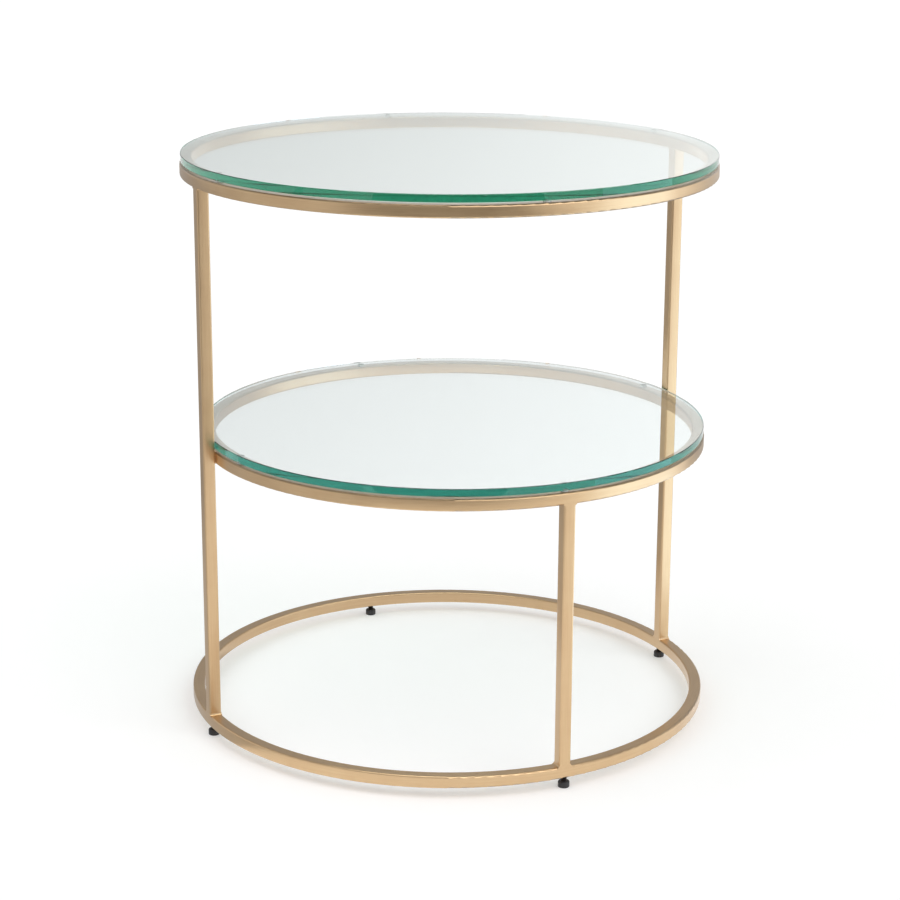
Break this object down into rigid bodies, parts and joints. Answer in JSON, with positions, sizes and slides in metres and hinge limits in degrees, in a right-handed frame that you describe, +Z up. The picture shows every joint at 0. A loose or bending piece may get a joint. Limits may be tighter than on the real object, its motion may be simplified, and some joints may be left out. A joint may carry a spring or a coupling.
{
  "type": "tiered side table",
  "caption": "Round tiered side table: brass-finished square-tube hoops and legs, glass top and lower glass shelf, screw levelling feet.",
  "frame": {"origin": "floor level under the centre of the base hoop, which is the bottom centre of the bounding box", "axes": "+Z up; the short leg stands towards -Y, a little to +X; the two tall legs stand at -X and +X"},
  "size_m": [0.559, 0.559, 0.6071],
  "materials": {
    "frame_metal": "satin champagne brass plating on steel",
    "clear_glass": "clear float glass, polished flat edge",
    "bumper_clear": "clear soft polyurethane",
    "foot_nylon": "black moulded nylon",
    "screw_black": "black zinc on steel"
  },
  "bodies": {
    "frame": {"base_hoop": "frame_metal", "shelf_hoop": "frame_metal", "top_hoop": "frame_metal", "leg_left": "frame_metal", "leg_right": "frame_metal", "leg_front": "frame_metal", "weld_foot_left": "frame_metal", "weld_foot_right": "frame_metal", "weld_foot_front": "frame_metal", "weld_head_left": "frame_metal", "weld_head_right": "frame_metal", "weld_head_front": "frame_metal", "weld_shelf_left": "frame_metal", "weld_shelf_right": "frame_metal", "bumper_top_1": "bumper_clear", "bumper_top_2": "bumper_clear", "bumper_top_3": "bumper_clear", "bumper_top_4": "bumper_clear", "bumper_shelf_1": "bumper_clear", "bumper_shelf_2": "bumper_clear", "bumper_shelf_3": "bumper_clear", "bumper_shelf_4": "bumper_clear", "foot_bush_1": "screw_black", "foot_bush_2": "screw_black", "foot_bush_3": "screw_black", "foot_bush_4": "screw_black"},
    "top_disc": {"glass_top": "clear_glass"},
    "shelf_disc": {"glass_shelf": "clear_glass"},
    "foot_1": {"foot_pad_1": "foot_nylon"},
    "screw_1": {"foot_stem_1": "screw_black"},
    "foot_2": {"foot_pad_2": "foot_nylon"},
    "screw_2": {"foot_stem_2": "screw_black"},
    "foot_3": {"foot_pad_3": "foot_nylon"},
    "screw_3": {"foot_stem_3": "screw_black"},
    "foot_4": {"foot_pad_4": "foot_nylon"},
    "screw_4": {"foot_stem_4": "screw_black"}
  },
  "joints": [
    {"name": "top_disc_lift", "type": "slide", "parent": "frame", "child": "top_disc", "axis": [0, 0, 1], "range_m": [0, 0.15]},
    {"name": "shelf_disc_lift", "type": "slide", "parent": "frame", "child": "shelf_disc", "axis": [0, 0, 1], "range_m": [0, 0.26]},
    {"name": "foot_1_travel", "type": "slide", "parent": "frame", "child": "foot_1", "axis": [0, 0, 1], "range_m": [-0.004, 0.004]},
    {"name": "screw_1_turn", "type": "hinge", "parent": "foot_1", "child": "screw_1", "pos_m": [0.24551, 0.11974, 0.01], "axis": [0, 0, 1], "range_deg": [-1440, 1440]},
    {"name": "foot_2_travel", "type": "slide", "parent": "frame", "child": "foot_2", "axis": [0, 0, 1], "range_m": [-0.004, 0.004]},
    {"name": "screw_2_turn", "type": "hinge", "parent": "foot_2", "child": "screw_2", "pos_m": [-0.09342, 0.25668, 0.01], "axis": [0, 0, 1], "range_deg": [-1440, 1440]},
    {"name": "foot_3_travel", "type": "slide", "parent": "frame", "child": "foot_3", "axis": [0, 0, 1], "range_m": [-0.004, 0.004]},
    {"name": "screw_3_turn", "type": "hinge", "parent": "foot_3", "child": "screw_3", "pos_m": [-0.24715, -0.1163, 0.01], "axis": [0, 0, 1], "range_deg": [-1440, 1440]},
    {"name": "foot_4_travel", "type": "slide", "parent": "frame", "child": "foot_4", "axis": [0, 0, 1], "range_m": [-0.004, 0.004]},
    {"name": "screw_4_turn", "type": "hinge", "parent": "foot_4", "child": "screw_4", "pos_m": [0.11802, -0.24634, 0.01], "axis": [0, 0, 1], "range_deg": [-1440, 1440]}
  ],
  "couplings": [
    {"joint": "screw_1_turn", "follows": "foot_1_travel", "rad_per_m": 6283.2},
    {"joint": "screw_2_turn", "follows": "foot_2_travel", "rad_per_m": 6283.2},
    {"joint": "screw_3_turn", "follows": "foot_3_travel", "rad_per_m": 6283.2},
    {"joint": "screw_4_turn", "follows": "foot_4_travel", "rad_per_m": 6283.2}
  ]
}
